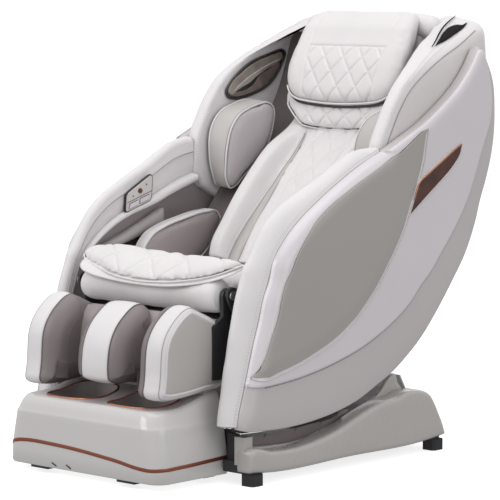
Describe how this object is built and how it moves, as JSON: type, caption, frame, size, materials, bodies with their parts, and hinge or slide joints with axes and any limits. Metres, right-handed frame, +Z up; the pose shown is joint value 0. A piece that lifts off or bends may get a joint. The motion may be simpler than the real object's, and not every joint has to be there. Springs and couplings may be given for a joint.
{
  "type": "massage chair",
  "caption": "Reclining massage chair with tall side shells, powered back rollers, leg rest with calf channels and foot wells, on a pedestal base.",
  "frame": {"origin": "on the floor under the middle of the outline of the chair", "axes": "+Z up, the sitter faces -Y, +X is the sitter's left"},
  "size_m": [0.826, 1.248, 1.192],
  "materials": {
    "shell": "pearl lacquer, satin gloss",
    "panel": "greige lacquer, satin gloss",
    "copper": "copper anodised, satin",
    "leather_light": "fine grained upholstery leather, warm off-white",
    "leather_taupe": "fine grained upholstery leather, taupe",
    "base_shell": "pearl silver lacquer",
    "frame_steel": "black powder coat",
    "pin_steel": "ground steel",
    "black_plastic": "moulded, fine texture",
    "rubber": "matt moulded rubber",
    "key": "silver lacquer",
    "roller": "smooth elastomer"
  },
  "bodies": {
    "base": {"base_frame": "frame_steel", "base_cover_left": "base_shell", "base_cover_right": "base_shell", "base_front_cover": "base_shell", "base_rear_cover": "base_shell", "base_feet": "rubber", "main_pivot_pins": "pin_steel", "tilt_actuator": "black_plastic", "power_inlet": "black_plastic"},
    "seat": {"seat_frame": "frame_steel", "back_pivot_pins": "pin_steel", "legrest_pivot_pins": "pin_steel", "side_shell_left": "shell", "side_shell_right": "shell", "side_panels": "panel", "accent_strips": "copper", "edge_trim_left": "leather_light", "edge_trim_right": "leather_light", "arm_left": "leather_light", "arm_right": "leather_light", "forearm_pads": "leather_taupe", "control_panel": "key", "seat_pad": "leather_light", "seat_front_roll": "leather_light", "seat_flap": "leather_light", "thigh_pads": "leather_taupe", "lower_rear_cover": "base_shell", "recline_actuator": "black_plastic", "legrest_actuator": "black_plastic"},
    "back": {"back_frame": "frame_steel", "back_pad": "leather_light", "back_cover": "shell", "top_bolster": "leather_light", "shoulder_wing_left": "panel", "shoulder_wing_right": "panel", "shoulder_airbags": "leather_taupe", "speaker_windows": "black_plastic", "vent_grilles": "black_plastic", "guide_rails": "pin_steel"},
    "legrest": {"calf_frame": "frame_steel", "calf_housing": "base_shell", "calf_side_pads": "leather_light", "calf_inner_pads": "leather_taupe"},
    "footrest": {"foot_housing": "base_shell", "foot_trim": "copper", "foot_glides": "rubber"},
    "tilt_piston": {"tilt_rod": "pin_steel"},
    "recline_piston": {"recline_rod": "pin_steel"},
    "legrest_piston": {"legrest_rod": "pin_steel"},
    "carriage": {"massage_carriage": "frame_steel"},
    "kneading_arms": {"massage_arms": "pin_steel"},
    "upper_rollers": {"rollers_upper": "roller"},
    "lower_rollers": {"rollers_lower": "roller"},
    "sole_rollers": {"foot_rollers": "roller"},
    "wheels": {"transport_wheels": "rubber"},
    "front_key": {"key_front": "key"},
    "rear_key": {"key_rear": "key"},
    "select_key": {"select_button": "black_plastic"},
    "mains_rocker": {"power_switch": "black_plastic"},
    "pillow": {"head_pillow": "leather_light"}
  },
  "joints": [
    {"name": "seat_tilt", "type": "hinge", "parent": "base", "child": "seat", "pos_m": [0, -0.038, 0.33], "axis": [-1, 0, 0], "range_deg": [0, 10]},
    {"name": "recline", "type": "hinge", "parent": "seat", "child": "back", "pos_m": [0, 0.092, 0.43], "axis": [-1, 0, 0], "range_deg": [0, 30]},
    {"name": "legrest_lift", "type": "hinge", "parent": "seat", "child": "legrest", "pos_m": [0, -0.348, 0.478], "axis": [-1, 0, 0], "range_deg": [0, 65]},
    {"name": "footrest_extend", "type": "slide", "parent": "legrest", "child": "footrest", "axis": [0, 0, -1], "range_m": [0, 0.085]},
    {"name": "tilt_rod_slide", "type": "slide", "parent": "base", "child": "tilt_piston", "axis": [0, -1, 0], "range_m": [0, 0.035]},
    {"name": "recline_rod_slide", "type": "slide", "parent": "seat", "child": "recline_piston", "axis": [0, -1, 0], "range_m": [0, 0.046]},
    {"name": "legrest_rod_slide", "type": "slide", "parent": "seat", "child": "legrest_piston", "axis": [0, -1, 0], "range_m": [0, 0.088]},
    {"name": "carriage_travel", "type": "slide", "parent": "back", "child": "carriage", "axis": [0, 0.6947, 0.7193], "range_m": [0, 0.28]},
    {"name": "kneading_rock", "type": "hinge", "parent": "carriage", "child": "kneading_arms", "pos_m": [0, 0.29599, 0.62839], "axis": [1, 0, 0], "range_deg": [-10, 10]},
    {"name": "upper_roller_spin", "type": "hinge", "parent": "kneading_arms", "child": "upper_rollers", "pos_m": [0, 0.33048, 0.67849], "axis": [1, 0, 0], "continuous": true},
    {"name": "lower_roller_spin", "type": "hinge", "parent": "kneading_arms", "child": "lower_rollers", "pos_m": [0, 0.24712, 0.59217], "axis": [1, 0, 0], "continuous": true},
    {"name": "sole_roller_spin", "type": "hinge", "parent": "footrest", "child": "sole_rollers", "pos_m": [0, -0.505, 0.082], "axis": [1, 0, 0], "continuous": true},
    {"name": "wheel_spin", "type": "hinge", "parent": "base", "child": "wheels", "pos_m": [0, 0.296, 0.04], "axis": [1, 0, 0], "continuous": true},
    {"name": "front_key_press", "type": "slide", "parent": "seat", "child": "front_key", "axis": [-1, 0, 0], "range_m": [0, 0.0015], "stiffness_N_per_m": 900},
    {"name": "rear_key_press", "type": "slide", "parent": "seat", "child": "rear_key", "axis": [-1, 0, 0], "range_m": [0, 0.0015], "stiffness_N_per_m": 900},
    {"name": "select_press", "type": "slide", "parent": "seat", "child": "select_key", "axis": [-1, 0, 0], "range_m": [0, 0.0015], "stiffness_N_per_m": 900},
    {"name": "mains_rocker_tilt", "type": "hinge", "parent": "base", "child": "mains_rocker", "pos_m": [-0.062, 0.368, 0.08], "axis": [1, 0, 0], "range_deg": [0, 10]},
    {"name": "pillow_flip", "type": "hinge", "parent": "back", "child": "pillow", "pos_m": [0, 0.508, 1.168], "axis": [-1, 0, 0], "range_deg": [0, 75]}
  ],
  "couplings": [
    {"joint": "footrest_extend", "follows": "legrest_lift", "m_per_rad": 0.0705},
    {"joint": "tilt_rod_slide", "follows": "seat_tilt", "m_per_rad": 0.189},
    {"joint": "recline_rod_slide", "follows": "recline", "m_per_rad": 0.08407},
    {"joint": "legrest_rod_slide", "follows": "legrest_lift", "m_per_rad": 0.0758}
  ]
}
